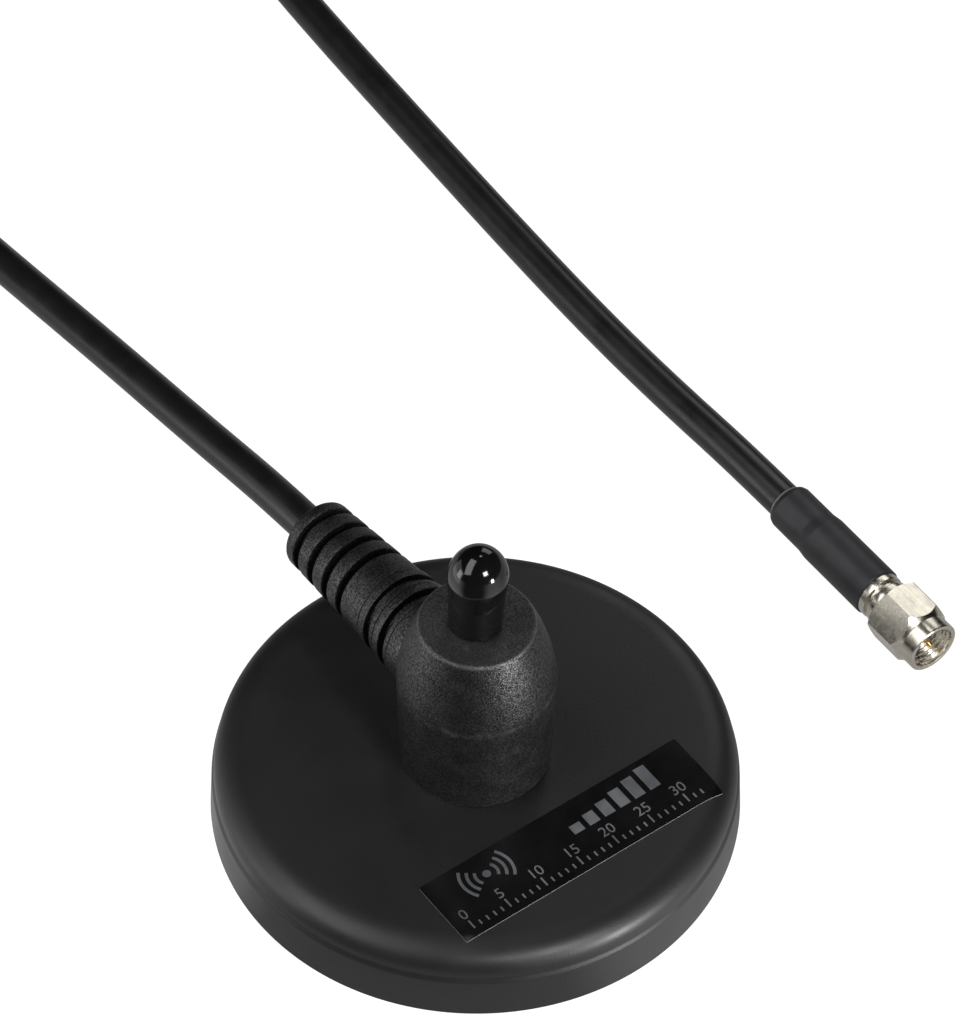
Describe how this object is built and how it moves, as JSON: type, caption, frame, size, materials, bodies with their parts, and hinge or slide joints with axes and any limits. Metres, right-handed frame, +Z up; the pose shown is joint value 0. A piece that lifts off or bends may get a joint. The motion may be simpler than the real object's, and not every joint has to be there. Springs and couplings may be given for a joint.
{
  "type": "magnetic car antenna base",
  "caption": "Round magnetic car antenna base with a capped whip stud, ribbed strain relief, coaxial lead and screw-on radio plug.",
  "frame": {"origin": "middle of the round face that clings to the car roof", "axes": "+Z up along the neck and whip stud, +Y the way the lead leaves the strain relief, +X along the label"},
  "size_m": [0.1061, 0.2883, 0.0483],
  "materials": {
    "satin_black_plastic": "satin moulded shell",
    "soft_black_rubber": "matte moulded rubber",
    "pad_rubber": "matte",
    "plated_steel": "zinc plated",
    "ferrite": "ground, dull",
    "grey_plastic": "plain",
    "nickel": "polished nickel plate, slightly warm",
    "brass": "turned",
    "gold_plate": "polished plate",
    "copper_wire": "bare",
    "tinned_braid": "woven",
    "white_plastic": "plain",
    "clear_white": "translucent",
    "gloss_black_vinyl": "high gloss",
    "label_film": "glossy film",
    "cable_jacket": "satin jacket",
    "shrink_tube": "matte",
    "seal_rubber": "soft silicone",
    "strap": "woven strap"
  },
  "bodies": {
    "base": {"base_cover": "satin_black_plastic", "bottom_pad": "pad_rubber", "yoke_cup": "plated_steel", "ring_magnet": "ferrite", "magnet_spacer": "grey_plastic", "lock_washer": "plated_steel", "fixing_screw": "plated_steel", "neck_boot": "soft_black_rubber", "mast_bush": "nickel", "stud_insulator": "white_plastic", "whip_stud": "brass", "lead_jacket": "cable_jacket", "feed_braid": "tinned_braid", "feed_dielectric": "clear_white", "feed_wire": "copper_wire", "label_plate": "label_film", "coax_lead": "cable_jacket", "coax_coil": "cable_jacket", "coax_tail": "cable_jacket", "coil_tie": "strap", "heat_shrink": "shrink_tube", "crimp_ferrule": "nickel", "plug_body": "nickel", "tail_braid": "tinned_braid", "tail_dielectric": "clear_white", "plug_insulator": "white_plastic", "plug_pin": "gold_plate", "nut_clip": "nickel", "plug_gasket": "seal_rubber"},
    "nut": {"coupling_nut": "nickel"},
    "cap": {"stud_cap": "gloss_black_vinyl"}
  },
  "joints": [
    {"name": "nut_spin", "type": "hinge", "parent": "base", "child": "nut", "pos_m": [0.0599, -0.0135, 0.00465], "axis": [0, -1, 0], "continuous": true},
    {"name": "cap_pull", "type": "slide", "parent": "base", "child": "cap", "axis": [0, 0, 1], "range_m": [0, 0.02]}
  ]
}
